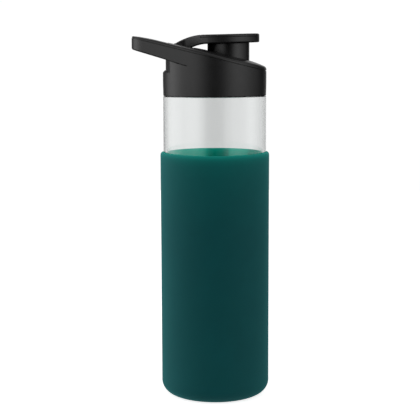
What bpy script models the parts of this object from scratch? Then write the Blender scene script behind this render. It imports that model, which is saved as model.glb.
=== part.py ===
# Glass water bottle with a silicone sleeve and a flip-top screw lid.
#
# Frame: origin at the centre of the flat base, +Z up along the bottle axis,
# the carry loop reaches towards -X and the drinking spout leans towards +X.
# Every length below is in millimetres and is turned into metres when a mesh
# is made.
import math

import bmesh
import bpy
from mathutils import Matrix, Vector

MM = 0.001

# ------------------------------------------------------------ driving sizes
SEG = 48                      # facets round the bottle axis
GAP = 0.3                     # gap between pieces that touch

# sleeve
SLEEVE_R = 36.0
SLEEVE_WALL = 1.8
SLEEVE_TOP = 162.55
SLEEVE_FLOOR = 1.8
FOOT_RADIUS = 8.7

# glass
GLASS_R = SLEEVE_R - SLEEVE_WALL - GAP
GLASS_WALL = 2.3
GLASS_BASE = 4.0
SHOULDER_Z = 199.4
SHOULDER_RADIUS = 0.4
NECK_R = 28.0
MOUTH_R = 25.4
RIM_Z = 212.6

# two-start screw between neck and liner
THREAD_LEAD = 8.0
THREAD_STARTS = 2
THREAD_SPAN = 202.5           # degrees swept by one ridge
THREAD_CREST = 29.5
THREAD_Z = 203.6
LINER_CREST = 28.5

# lid shell
LID_R = 34.0
LID_BOTTOM = 199.7
LID_BORE = 31.9
LID_CEILING = 216.5
LOOP_X = -38.8                # centre of the loop's round end
LOOP_R = 15.5
LOOP_BAND = 6.3
UNDER_Z0, UNDER_SLOPE = 214.02, -0.2946      # underside plane of the loop
EDGE_Z0, EDGE_SLOPE = 224.1, -0.2467         # top edge of the side wall
EDGE_ROUND = 1.3              # outer edge of the domed top
LEDGE_Z = 215.0
LEDGE_TOP = 216.8
RECESS_R, RECESS_X = 50.7, 18.6              # flatter wall under the loop

# liner
LINER_R = 31.6
LINER_BORE = 29.9
LINER_BOTTOM = 200.0
DISC_BOTTOM = 214.7
DISC_TOP = 216.2
SPOUT_X = 9.05
SPOUT_R = 13.75
SPOUT_BORE = 11.5

# gasket
GASKET_R = 29.6
GASKET_BORE = 25.6
GASKET_Z = (212.9, 214.4)

# flip cap and hinge
HINGE_X, HINGE_Z = -24.5, 229.2
KNUCKLE_R = 4.7
PIN_R, PIN_HALF = 1.25, 13.7
PIN_HOLE_R = 1.55
SLOT_HALF, SLOT_FLOOR, SLOT_END = 11.2, 224.0, -13.5
SLOT_FLARE = 2.9
ARM_HALF = 10.2
PLATE_X, PLATE_HALF, PLATE_REACH = 5.0, 21.8, 24.3
ARM_X = -20.0                 # the arm starts to widen here
WAIST_X, WAIST_BEND = -4.0, 0.0139           # shallow curve of the plate's side
COVER_X = (-9.0, 27.0)
COVER_T = 1.9
PLUG_R = (10.2, 10.9)
PLUG_Z = 229.2


# ------------------------------------------------------------------ scene
for old in list(bpy.data.objects):
    bpy.data.objects.remove(old, do_unlink=True)


def principled(name, colour, roughness, metallic=0.0, alpha=1.0, transmission=0.0):
    mat = bpy.data.materials.new(name)
    mat.use_nodes = True
    node = mat.node_tree.nodes["Principled BSDF"]
    node.inputs["Base Color"].default_value = (*colour, 1.0)
    node.inputs["Roughness"].default_value = roughness
    node.inputs["Metallic"].default_value = metallic
    node.inputs["Alpha"].default_value = alpha
    node.inputs["Transmission Weight"].default_value = transmission
    mat.diffuse_color = (*colour, alpha)
    return mat


GLASS = principled("clear_glass", (0.93, 0.95, 0.95), 0.02, transmission=1.0)
SLEEVE = principled("green_silicone", (0.006, 0.055, 0.052), 0.62)
LID = principled("black_plastic", (0.018, 0.018, 0.019), 0.38)
LINER = principled("black_liner_plastic", (0.016, 0.016, 0.017), 0.42)
CAP = principled("black_cap_plastic", (0.018, 0.018, 0.019), 0.36)
COVER = principled("black_cover_plastic", (0.020, 0.020, 0.021), 0.40)
SEAL = principled("clear_silicone", (0.62, 0.63, 0.62), 0.50)
PLUG = principled("grey_silicone", (0.09, 0.09, 0.09), 0.55)
STEEL = principled("stainless_steel", (0.62, 0.62, 0.62), 0.25, metallic=1.0)


# ---------------------------------------------------------------- helpers
def add(name, bm, mat=None, skew=False):
    """Close a bmesh drawn in millimetres into an object in metres.

    skew is for shapes whose quads aren't flat: they are split into triangles.
    """
    bmesh.ops.remove_doubles(bm, verts=bm.verts, dist=1e-5)
    if skew:
        bmesh.ops.triangulate(bm, faces=bm.faces)
    bmesh.ops.recalc_face_normals(bm, faces=bm.faces)
    bmesh.ops.scale(bm, vec=(MM, MM, MM), verts=bm.verts)
    mesh = bpy.data.meshes.new(name)
    bm.to_mesh(mesh)
    bm.free()
    obj = bpy.data.objects.new(name, mesh)
    bpy.context.scene.collection.objects.link(obj)
    if mat:
        mesh.materials.append(mat)
    return obj


def arc(cx, cz, r, a0, a1, n):
    """n + 1 points on an arc, angles in degrees."""
    out = []
    for i in range(n + 1):
        a = math.radians(a0 + (a1 - a0) * i / n)
        out.append((cx + r * math.cos(a), cz + r * math.sin(a)))
    return out


def turned(profile, seg=SEG, cx=0.0, cy=0.0):
    """Revolve a closed (radius, height) outline about a vertical axis."""
    bm = bmesh.new()
    rings = []
    for r, z in profile:
        if r < 1e-6:
            rings.append([bm.verts.new((cx, cy, z))])
        else:
            rings.append([bm.verts.new((cx + r * math.cos(2 * math.pi * k / seg),
                                        cy + r * math.sin(2 * math.pi * k / seg), z))
                          for k in range(seg)])
    n = len(rings)
    for i in range(n):
        a, b = rings[i], rings[(i + 1) % n]
        if len(a) == 1 and len(b) == 1:
            continue
        for k in range(seg):
            j = (k + 1) % seg
            if len(a) == 1:
                bm.faces.new((a[0], b[k], b[j]))
            elif len(b) == 1:
                bm.faces.new((a[k], b[0], a[j]))
            else:
                bm.faces.new((a[k], b[k], b[j], a[j]))
    return bm


def prism(points, lo, hi, along="Z"):
    """Extrude a closed outline between two levels of one axis."""
    bm = bmesh.new()

    def at(u, v, w):
        return {"Z": (u, v, w), "Y": (u, w, v)}[along]
    low = [bm.verts.new(at(u, v, lo)) for u, v in points]
    top = [bm.verts.new(at(u, v, hi)) for u, v in points]
    bm.faces.new(low)
    bm.faces.new(top)
    n = len(points)
    for i in range(n):
        j = (i + 1) % n
        bm.faces.new((low[i], low[j], top[j], top[i]))
    return bm


def boolean(target, cutter, operation):
    """Apply an exact Boolean and drop the tool."""
    mod = target.modifiers.new("bool", "BOOLEAN")
    mod.operation = operation
    mod.solver = "EXACT"
    mod.object = cutter
    deps = bpy.context.evaluated_depsgraph_get()
    mesh = bpy.data.meshes.new_from_object(target.evaluated_get(deps))
    target.modifiers.remove(mod)
    bm = bmesh.new()
    bm.from_mesh(mesh)
    bmesh.ops.remove_doubles(bm, verts=bm.verts, dist=0.002 * MM)
    bm.to_mesh(mesh)
    bm.free()
    old = target.data
    target.data = mesh
    mesh.name = target.name
    bpy.data.meshes.remove(old)
    tool = cutter.data
    bpy.data.objects.remove(cutter, do_unlink=True)
    bpy.data.meshes.remove(tool)
    return target


def smooth(obj, angle=32.0):
    obj.data.shade_smooth()
    obj.data.set_sharp_from_angle(angle=math.radians(angle))


def edge_z(x):
    return EDGE_Z0 + EDGE_SLOPE * x


def under_z(x):
    return UNDER_Z0 + UNDER_SLOPE * x


def ramp(a, b, x):
    t = min(max((x - a) / (b - a), 0.0), 1.0)
    return t * t * (3.0 - 2.0 * t)


def crown(x, d):
    """Height of the domed top over the side wall's edge, d from the outline.

    A step up, a dome that flattens inwards, and a rounded outer edge.
    """
    step = 1.2 + 0.7 * ramp(-54.0, -38.0, x) - 0.05 * ramp(-28.0, -10.0, x)
    step += 0.55 * ramp(6.0, 26.0, x)
    dome = (1.2 + 1.1 * ramp(-26.0, -4.0, x)) * (1.0 - math.exp(-d / 8.0))
    k = max(EDGE_ROUND - d, 0.0)
    return step + dome - EDGE_ROUND + math.sqrt(EDGE_ROUND ** 2 - k * k)


def cap_top(x):
    k = min(x + 7.0, 0.0)
    return 239.5 + 0.022 * x - 0.015 * k * k


def cap_under(x):
    k = min(x + 5.0, 0.0)
    return 233.65 + 0.027 * x - 0.0215 * k * k


def cap_half(x):
    """Half the cap's width: arm, flare, gently curved side, rounded front."""
    if x <= ARM_X:
        return ARM_HALF
    if x <= WAIST_X:
        run = WAIST_X - ARM_X
        t = (x - ARM_X) / run
        waist = PLATE_HALF - WAIST_BEND * (WAIST_X - PLATE_X) ** 2
        slope = -2.0 * WAIST_BEND * (WAIST_X - PLATE_X)
        return (ARM_HALF + (waist - ARM_HALF) * t * t * (3.0 - 2.0 * t)
                + slope * run * (t ** 3 - t * t))
    if x <= PLATE_X:
        return PLATE_HALF - WAIST_BEND * (x - PLATE_X) ** 2
    u = (x - PLATE_X) / PLATE_REACH
    return PLATE_HALF * math.sqrt(max(0.0, 1.0 - u * u))


def thread(root, crest, z0, embed, seg=SEG):
    """Helical ridges, each a swept trapezoid that fades out at both ends."""
    tools = []
    step = 360.0 / seg
    n = round(THREAD_SPAN / step)
    sign = 1.0 if crest > root else -1.0
    for s in range(THREAD_STARTS):
        bm = bmesh.new()
        rows = []
        for i in range(n + 1):
            ang = s * 360.0 / THREAD_STARTS + i * step
            fade = min(1.0, 0.25 + 0.375 * min(i, n - i))
            top = root + (crest - root) * fade
            zc = z0 + THREAD_LEAD * i * step / 360.0
            a = math.radians(ang)
            row = []
            for r, h in ((root - sign * embed, -1.1), (top, -0.5), (top, 0.5),
                         (root - sign * embed, 1.1)):
                row.append(bm.verts.new((r * math.cos(a), r * math.sin(a), zc + h)))
            rows.append(row)
        for i in range(n):
            for k in range(4):
                m = (k + 1) % 4
                bm.faces.new((rows[i][k], rows[i + 1][k], rows[i + 1][m], rows[i][m]))
        bm.faces.new(rows[0])
        bm.faces.new(rows[-1])
        tools.append(add("ridge", bm, skew=True))
    return tools


# ----------------------------------------------------------------- pieces
def make_sleeve():
    r0, r1 = SLEEVE_R, SLEEVE_R - SLEEVE_WALL
    lip = SLEEVE_WALL / 2
    foot = r0 - FOOT_RADIUS
    inner = FOOT_RADIUS - SLEEVE_WALL
    outline = [(0.0, 0.0)] + arc(foot, FOOT_RADIUS, FOOT_RADIUS, -90, 0, 6)
    outline += arc(r0 - lip, SLEEVE_TOP - lip, lip, 0, 180, 6)
    outline += arc(foot, SLEEVE_FLOOR + inner, inner, 0, -90, 6) + [(0.0, SLEEVE_FLOOR)]
    obj = add("silicone_sleeve", turned(outline), SLEEVE)
    smooth(obj)
    return obj


def make_glass():
    z0 = SLEEVE_FLOOR + GAP
    foot = FOOT_RADIUS - SLEEVE_WALL - GAP
    r_in = GLASS_R - GLASS_WALL
    outline = [(0.0, z0 + 1.5), (14.0, z0 + 1.1), (22.0, z0 + 0.2)]
    outline += arc(GLASS_R - foot, z0 + foot, foot, -90, 0, 6)
    outline += arc(GLASS_R - SHOULDER_RADIUS, SHOULDER_Z - SHOULDER_RADIUS,
                   SHOULDER_RADIUS, 0, 90, 2)
    outline += [(NECK_R + 0.9, SHOULDER_Z), (NECK_R, SHOULDER_Z + 0.9)]
    lip = 0.9
    outline += arc(NECK_R - lip, RIM_Z - lip, lip, 0, 90, 3)
    outline += arc(MOUTH_R + lip, RIM_Z - lip, lip, 90, 180, 3)
    ceiling = SHOULDER_Z - 2.2
    outline += [(MOUTH_R, ceiling + 0.4), (MOUTH_R + 0.4, ceiling)]
    outline += [(r_in - 0.5, ceiling), (r_in, ceiling - 0.5)]
    zf = z0 + GLASS_BASE
    outline += arc(r_in - 5.0, zf + 5.0, 5.0, 0, -90, 4) + [(0.0, zf + 0.6)]
    obj = add("glass_bottle", turned(outline), GLASS)
    for tool in thread(NECK_R, THREAD_CREST, THREAD_Z, 0.3):
        boolean(obj, tool, "UNION")
    smooth(obj)
    return obj


def make_liner():
    outline = [(LINER_BORE, LINER_BOTTOM), (LINER_R, LINER_BOTTOM),
               (LINER_R, DISC_TOP - 1.0), (LINER_R - 1.0, DISC_TOP),
               (0.0, DISC_TOP), (0.0, DISC_BOTTOM), (LINER_BORE, DISC_BOTTOM)]
    obj = add("spout_liner", turned(outline), LINER)
    for tool in thread(LINER_BORE, LINER_CREST, THREAD_Z - THREAD_LEAD / (2 * THREAD_STARTS), 0.3):
        boolean(obj, tool, "UNION")
    bm = turned([(0.0, DISC_BOTTOM + 0.5), (SPOUT_R, DISC_BOTTOM + 0.5),
                 (SPOUT_R, 230.0), (SPOUT_R - 0.5, 230.5), (0.0, 230.5)], 48, SPOUT_X)
    for v in bm.verts:
        if v.co.z > 229.0:
            v.co.z += cap_under(v.co.x) - GAP - 230.5
    boolean(obj, add("tube", bm), "UNION")
    bore = turned([(0.0, DISC_BOTTOM - 2.0), (SPOUT_BORE, DISC_BOTTOM - 2.0),
                   (SPOUT_BORE, 242.0), (0.0, 242.0)], 48, SPOUT_X)
    boolean(obj, add("bore", bore), "DIFFERENCE")
    smooth(obj)
    return obj


def make_gasket():
    c = 0.3
    lo, hi = GASKET_Z
    outline = [(GASKET_BORE + c, lo), (GASKET_R - c, lo), (GASKET_R, lo + c), (GASKET_R, hi - c),
               (GASKET_R - c, hi), (GASKET_BORE + c, hi), (GASKET_BORE, hi - c),
               (GASKET_BORE, lo + c)]
    obj = add("lid_gasket", turned(outline), SEAL)
    smooth(obj)
    return obj


def teardrop(r0, r1, cx, seg):
    """Half outline (y >= 0) of two circles joined by tangents, from +X to -X.

    Each entry is (x, y, foot): foot is where the inward normal meets y = 0.
    """
    a = math.asin((r0 - r1) / -cx)
    turn = 90.0 + math.degrees(a)
    n0 = round(turn / (360.0 / seg))
    pts = [(r0 * math.cos(math.radians(turn * i / n0)),
            r0 * math.sin(math.radians(turn * i / n0)), 0.0) for i in range(n0 + 1)]
    x0, y0, _ = pts[-1]
    x1, y1 = cx + r1 * math.cos(math.radians(turn)), r1 * math.sin(math.radians(turn))
    n1 = 8
    for i in range(1, n1):
        t = i / n1
        pts.append((x0 + (x1 - x0) * t, y0 + (y1 - y0) * t, cx * t))
    n2 = 7
    for i in range(n2 + 1):
        b = math.radians(turn + (180.0 - turn) * i / n2)
        pts.append((cx + r1 * math.cos(b), r1 * math.sin(b), cx))
    return pts, n0


def recess_radius(phi):
    """Distance from the bottle axis to the wall under the loop."""
    c, s = math.cos(phi), math.sin(phi)
    b = -RECESS_X * c
    disc = b * b - (RECESS_X * RECESS_X - RECESS_R * RECESS_R)
    return min(LID_R, -b + math.sqrt(disc))


def make_shell():
    half, n0 = teardrop(LID_R, LOOP_R, LOOP_X, SEG)
    full = half + [(x, -y, f) for x, y, f in reversed(half[1:-1])]
    n = len(full)
    bm = bmesh.new()

    # domed top: rings that run in from the outline to the spine
    insets = (0.0, 0.15, 0.55, 1.3, 3.2, 7.0, 12.0)
    rings = []
    for d in insets:
        ring = []
        for x, y, f in full:
            reach = math.hypot(x - f, y)
            t = min(d, reach * 0.86) / reach
            px, py = x + (f - x) * t, y * (1.0 - t)
            ring.append(bm.verts.new((px, py, edge_z(px) + crown(px, t * reach))))
        rings.append(ring)
    for a, b in zip(rings, rings[1:]):
        for i in range(n):
            j = (i + 1) % n
            bm.faces.new((a[i], a[j], b[j], b[i]))
    spine = {}
    for x, y, f in full:
        key = round(f, 6)
        if key not in spine:
            spine[key] = bm.verts.new((f, 0.0, edge_z(f) + crown(f, math.hypot(x - f, y))))
    last = rings[-1]
    for i in range(n):
        j = (i + 1) % n
        a, b = spine[round(full[i][2], 6)], spine[round(full[j][2], 6)]
        if a is b:
            bm.faces.new((last[i], last[j], a))
        else:
            bm.faces.new((last[i], last[j], b, a))

    # side wall: down to the base on the round body, to the underside on the loop
    edge = rings[0]
    m = len(half)
    on_body = [i <= n0 or i >= n - n0 for i in range(n)]
    foot, under = {}, {}
    for i, (x, y, f) in enumerate(full):
        if on_body[i]:
            foot[i] = bm.verts.new((x, y, LID_BOTTOM))
        if not on_body[i] or i in (n0, n - n0):
            under[i] = bm.verts.new((x, y, under_z(x)))
    for i in range(n):
        j = (i + 1) % n
        if on_body[i] and on_body[j]:
            quad = [edge[i], foot[i], foot[j], edge[j]]
            if i in under:
                quad.insert(1, under[i])
            if j in under:
                quad.insert(-1, under[j])
            bm.faces.new(quad)
        else:
            bm.faces.new((edge[i], under[i], under[j], edge[j]))

    # back of the body under the loop, with its ledge and flatter recess
    first, end = n0, n - n0
    count = end - first
    phi0 = math.atan2(half[n0][1], half[n0][0])
    rows = []
    for k in range(count + 1):
        phi = phi0 + (2 * math.pi - 2 * phi0) * k / count
        rec = recess_radius(phi)
        mid = 0.5 * (LID_R + rec)
        c, s = math.cos(phi), math.sin(phi)
        if k in (0, count):
            i = first if k == 0 else end
            rows.append([foot[i], under[i]])
            continue
        col = [bm.verts.new((LID_R * c, LID_R * s, LID_BOTTOM)),
               bm.verts.new((LID_R * c, LID_R * s, LEDGE_Z)),
               bm.verts.new((mid * c, mid * s, LEDGE_Z + 1.3)),
               bm.verts.new((rec * c, rec * s, LEDGE_TOP)),
               bm.verts.new((rec * c, rec * s, under_z(rec * c)))]
        rows.append(col)
    for k in range(count):
        a, b = rows[k], rows[k + 1]
        if len(a) == 2:
            bm.faces.new([a[0]] + b[:] + [a[1]])
        elif len(b) == 2:
            bm.faces.new([b[0]] + a[:] + [b[1]])
        else:
            for q in range(4):
                bm.faces.new((a[q], b[q], b[q + 1], a[q + 1]))
    # underside of the loop, between its outline and the body
    for k in range(count):
        i, j = first + k, first + k + 1
        quad = []
        for v in (under[i], under[j], rows[k + 1][-1], rows[k][-1]):
            if v not in quad:
                quad.append(v)
        bm.faces.new(quad)
    # flat bottom of the collar
    base = [foot[i] for i in range(0, first + 1)]
    base += [rows[k][0] for k in range(1, count)]
    base += [foot[i] for i in range(end, n)]
    bm.faces.new(base)
    shell = add("lid_shell", bm, LID, skew=True)

    # hollow inside: bore for the liner, then the space under the dome
    bore = turned([(0.0, LID_BOTTOM - 3.0), (LID_BORE, LID_BOTTOM - 3.0),
                   (LID_BORE, LID_CEILING), (0.0, LID_CEILING)])
    boolean(shell, add("bore", bore), "DIFFERENCE")
    attic = turned([(0.0, LID_CEILING - 1.0), (29.3, LID_CEILING - 1.0), (29.3, 240.0), (0.0, 240.0)])
    for v in attic.verts:
        if v.co.z > 230.0:
            v.co.z = edge_z(v.co.x) + 0.2
    attic = add("attic", attic)
    keep = prism([(-40.0, -17.0), (-11.0, -17.0), (-11.0, 17.0), (-40.0, 17.0)], 222.0, 250.0)
    boolean(attic, add("keep", keep), "DIFFERENCE")
    keep = prism([(20.0, -40.0), (40.0, -40.0), (40.0, 40.0), (20.0, 40.0)], 210.0, 250.0)
    boolean(attic, add("keep", keep), "DIFFERENCE")
    boolean(shell, attic, "DIFFERENCE")

    # finger hole: the loop's outline set in by the band, closed by the recess wall
    inner = teardrop(LID_R - LOOP_BAND, LOOP_R - LOOP_BAND, LOOP_X, SEG)[0]
    rear = RECESS_X - 0.15        # a hair behind the recess wall, so faces don't coincide
    wall_x = rear - math.sqrt(RECESS_R ** 2 - 14.2 ** 2)
    upper = [(x, y) for x, y, f in inner if x < wall_x - 0.8]
    slope = (upper[0][1] - upper[2][1]) / (upper[0][0] - upper[2][0])
    corner = upper[0][1] + slope * (wall_x - upper[0][0])
    side = [(rear - math.sqrt(RECESS_R ** 2 - (corner * k / 4) ** 2), corner * k / 4)
            for k in range(5)]
    hole = side + upper
    hole += [(x, -y) for x, y in reversed(upper[:-1])] + [(x, -y) for x, y in reversed(side[1:])]
    boolean(shell, add("finger", prism(hole, 217.5, 250.0)), "DIFFERENCE")

    # hinge slot, spout hole and pin holes
    flare = SLOT_HALF + SLOT_FLARE      # widens with the arm where it leaves the slot
    slot = prism([(-36.0, -SLOT_HALF), (ARM_X - 0.4, -SLOT_HALF), (SLOT_END, -flare),
                  (SLOT_END, flare), (ARM_X - 0.4, SLOT_HALF), (-36.0, SLOT_HALF)],
                 SLOT_FLOOR, 250.0)
    boolean(shell, add("slot", slot), "DIFFERENCE")
    tube = turned([(0.0, LID_CEILING - 3.0), (SPOUT_R + GAP, LID_CEILING - 3.0),
                   (SPOUT_R + GAP, 242.0), (0.0, 242.0)], 48, SPOUT_X)
    boolean(shell, add("tube", tube), "DIFFERENCE")
    ring = arc(HINGE_X, HINGE_Z, PIN_HOLE_R, 0, 360, 16)[:-1]
    boolean(shell, add("pin", prism(ring, -PIN_HALF - GAP, PIN_HALF + GAP, "Y")), "DIFFERENCE")
    smooth(shell)
    return shell


def cap_body():
    """Arm, plate and hinge knuckle of the flip cap as one closed body."""
    bm = bmesh.new()
    xs = [HINGE_X + 0.5 + (ARM_X - HINGE_X - 0.5) * i / 2 for i in range(3)]
    xs += [ARM_X + (WAIST_X - ARM_X) * i / 8 for i in range(1, 9)]
    xs += [WAIST_X + (PLATE_X - WAIST_X) * i / 3 for i in range(1, 4)]
    xs += [PLATE_X + PLATE_REACH * math.sin(math.radians(a)) for a in (14, 27, 39, 50, 60, 69, 77, 83.5)]
    rows = []
    for x in xs:
        w, lo, hi = cap_half(x), cap_under(x), cap_top(x)
        b, t = min(0.8, w * 0.4), min(1.0, w * 0.4)
        pts = [(-w + b, lo), (-w, lo + b), (-w, hi - t), (-w + t, hi),
               (w - t, hi), (w, hi - t), (w, lo + b), (w - b, lo)]
        rows.append([bm.verts.new((x, y, z)) for y, z in pts])
    for a, b in zip(rows, rows[1:]):
        for k in range(8):
            j = (k + 1) % 8
            bm.faces.new((a[k], b[k], b[j], a[j]))
    bm.faces.new(rows[0])
    x = PLATE_X + PLATE_REACH
    lo, hi = cap_under(x) + 0.9, cap_top(x) - 1.1
    nose = [bm.verts.new((x, 0.0, lo)), bm.verts.new((x, 0.0, hi))]
    last = rows[-1]
    bm.faces.new((last[0], last[1], nose[0]))
    bm.faces.new((last[1], last[2], nose[1], nose[0]))
    bm.faces.new((last[2], last[3], nose[1]))
    bm.faces.new((last[3], last[4], nose[1]))
    bm.faces.new((last[4], last[5], nose[1]))
    bm.faces.new((last[5], last[6], nose[0], nose[1]))
    bm.faces.new((last[6], last[7], nose[0]))
    bm.faces.new((last[7], last[0], nose[0]))
    body = add("flip_cap", bm, CAP, skew=True)
    knuckle = arc(HINGE_X, HINGE_Z, KNUCKLE_R, 0, 360, 24)[:-1]
    boolean(body, add("knuckle", prism(knuckle, -ARM_HALF, ARM_HALF, "Y")), "UNION")
    hole = arc(HINGE_X, HINGE_Z, PIN_HOLE_R, 0, 360, 16)[:-1]
    boolean(body, add("hole", prism(hole, -ARM_HALF - 3, ARM_HALF + 3, "Y")), "DIFFERENCE")
    return body


def cover_zone(grow):
    """Block that parts the cover from the cap, in side view."""
    x0, x1 = COVER_X[0] - grow, COVER_X[1] + grow
    pts = [(x0, cap_top(x0) - COVER_T - grow), (x1, cap_top(x1) - COVER_T - grow),
           (x1, 245.0), (x0, 245.0)]
    return add("zone", prism(pts, -30.0, 30.0, "Y"))


def make_cap():
    cap = boolean(cap_body(), cover_zone(GAP), "DIFFERENCE")
    # blind socket that holds the neck of the plug
    r, top = 4.0 + GAP, 236.2 + GAP
    socket = turned([(0.0, 225.0), (r, 225.0), (r, top), (0.0, top)], 24, SPOUT_X)
    boolean(cap, add("socket", socket), "DIFFERENCE")
    smooth(cap)
    cover = cap_body()
    cover.name = "flip_cap_cover"
    boolean(cover, cover_zone(0.0), "INTERSECT")
    cover.data.materials.clear()
    cover.data.materials.append(COVER)
    smooth(cover)
    return cap, cover


def make_plug():
    lo, hi = PLUG_R
    outline = [(0.0, PLUG_Z), (lo - 0.6, PLUG_Z), (lo, PLUG_Z + 0.6), (hi, 232.4),
               (hi, 232.95), (0.0, 232.95)]
    bm = turned(outline, 40, SPOUT_X)
    plug = add("spout_plug", bm, PLUG)
    neck = turned([(0.0, 232.0), (4.0, 232.0), (4.0, 236.2), (0.0, 236.2)], 24, SPOUT_X)
    boolean(plug, add("neck", neck), "UNION")
    smooth(plug)
    return plug


def make_pin():
    c = 0.25
    outline = [(0.0, -PIN_HALF), (PIN_R - c, -PIN_HALF), (PIN_R, -PIN_HALF + c),
               (PIN_R, PIN_HALF - c), (PIN_R - c, PIN_HALF), (0.0, PIN_HALF)]
    bm = turned(outline, 16)
    bmesh.ops.rotate(bm, cent=(0, 0, 0), matrix=Matrix.Rotation(math.radians(90), 3, "X"),
                     verts=bm.verts)
    bmesh.ops.translate(bm, vec=(HINGE_X, 0.0, HINGE_Z), verts=bm.verts)
    pin = add("hinge_pin", bm, STEEL)
    smooth(pin)
    return pin


def axis_empty(name, where, parent=None):
    obj = bpy.data.objects.new(name, None)
    obj.empty_display_size = 0.01
    bpy.context.scene.collection.objects.link(obj)
    obj.location = Vector(where) * MM
    if parent:
        obj.parent = parent
        obj.location = (Vector(where) - Vector((0, 0, RIM_Z))) * MM
    return obj


def hang(obj, parent, where):
    """Parent a piece whose mesh is drawn in world coordinates."""
    obj.parent = parent
    obj.location = -Vector(where) * MM


def main():
    make_sleeve()
    make_glass()
    lid_at = (0.0, 0.0, RIM_Z)
    hinge_at = (HINGE_X, 0.0, HINGE_Z)
    lid_axis = axis_empty("lid_axis", lid_at)
    cap_axis = axis_empty("flip_cap_axis", hinge_at, lid_axis)
    for piece in (make_gasket(), make_liner(), make_shell(), make_pin()):
        hang(piece, lid_axis, lid_at)
    for piece in (*make_cap(), make_plug()):
        hang(piece, cap_axis, hinge_at)


main()
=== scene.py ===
import math

import bmesh
import bpy
import numpy as np
from mathutils import Matrix, Vector


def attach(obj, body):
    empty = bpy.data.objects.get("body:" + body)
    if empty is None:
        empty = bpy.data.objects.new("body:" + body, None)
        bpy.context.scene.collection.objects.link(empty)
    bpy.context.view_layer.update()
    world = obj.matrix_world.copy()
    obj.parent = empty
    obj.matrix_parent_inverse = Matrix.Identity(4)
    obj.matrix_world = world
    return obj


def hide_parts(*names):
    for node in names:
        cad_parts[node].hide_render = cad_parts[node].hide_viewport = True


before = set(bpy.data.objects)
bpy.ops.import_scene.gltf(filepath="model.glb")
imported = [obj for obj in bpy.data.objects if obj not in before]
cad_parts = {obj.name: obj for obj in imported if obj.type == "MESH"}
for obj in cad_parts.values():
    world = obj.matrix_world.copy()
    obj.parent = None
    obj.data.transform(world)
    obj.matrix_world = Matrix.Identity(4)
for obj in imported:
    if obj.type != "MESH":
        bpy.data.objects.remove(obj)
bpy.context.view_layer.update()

MM = 0.001

# ------------------------------------------------------------------ sizes, mm
SLEEVE_R, SLEEVE_TOP, SLEEVE_FLOOR, FOOT_RADIUS = 36.0, 162.55, 1.8, 8.7
GLASS_R, GLASS_WALL, SHOULDER_Z, SHOULDER_RADIUS = 33.9, 2.3, 199.4, 0.4
NECK_R, MOUTH_R, RIM_Z = 28.0, 25.4, 212.6
THREAD_LEAD, THREAD_SPAN, THREAD_Z = 8.0, 202.5, 203.6
THREAD_CREST, LINER_CREST = 29.5, 28.5
LID_R, LID_BOTTOM, LID_BORE, LID_CEILING = 34.0, 199.7, 31.9, 216.5
LOOP_X, LOOP_R, LOOP_BAND = -38.8, 15.5, 6.3
UNDER_Z0, UNDER_SLOPE = 214.02, -0.2946
EDGE_Z0, EDGE_SLOPE = 224.1, -0.2467
LEDGE_TOP = 216.8
RECESS_R, RECESS_X = 50.7, 18.6
LINER_R, LINER_BORE, LINER_BOTTOM = 31.6, 29.9, 200.0
DISC_BOTTOM, DISC_TOP = 214.7, 216.2
SPOUT_X, SPOUT_R, SPOUT_BORE = 9.05, 13.75, 11.5
HINGE_X, HINGE_Z, KNUCKLE_R, PIN_HOLE_R, PIN_HALF = -24.5, 229.2, 4.7, 1.55, 13.7
SLOT_HALF, SLOT_FLOOR, SLOT_END, ARM_X, ARM_HALF = 11.2, 224.0, -13.5, -20.0, 10.2
SLOT_FLARE = 2.9
PLATE_X, PLATE_HALF, PLATE_REACH = 5.0, 21.8, 24.3
WAIST_X, WAIST_BEND = -4.0, 0.0139      # where the flare meets the plate's long curve
COVER_X, COVER_T = (-9.0, 27.0), 1.9


# -------------------------------------------------------------- mesh helpers
def to_object(name, verts, faces, angle=None):
    """verts in millimetres; faces as lists of indices, outward."""
    mesh = bpy.data.meshes.new(name)
    mesh.from_pydata([tuple(v) for v in np.asarray(verts, float) * MM], [], faces)
    mesh.validate()
    mesh.shade_smooth()
    if angle:
        mesh.set_sharp_from_angle(angle=math.radians(angle))
    obj = bpy.data.objects.new(name, mesh)
    bpy.context.scene.collection.objects.link(obj)
    return obj


def outward(obj):
    bm = bmesh.new()
    bm.from_mesh(obj.data)
    bmesh.ops.recalc_face_normals(bm, faces=bm.faces)
    bm.to_mesh(obj.data)
    bm.free()
    return obj


def arc(cx, cz, r, a0, a1, n):
    return [(cx + r * math.cos(math.radians(a0 + (a1 - a0) * i / n)),
             cz + r * math.sin(math.radians(a0 + (a1 - a0) * i / n))) for i in range(n + 1)]


def dense(points, step):
    """Closed outline with extra points on its long straight runs."""
    out = []
    n = len(points)
    for i in range(n):
        a, b = np.array(points[i], float), np.array(points[(i + 1) % n], float)
        k = max(1, int(np.linalg.norm((b - a)[:2]) / step))
        for j in range(k):
            out.append(tuple(a + (b - a) * j / k))
    return out


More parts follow.
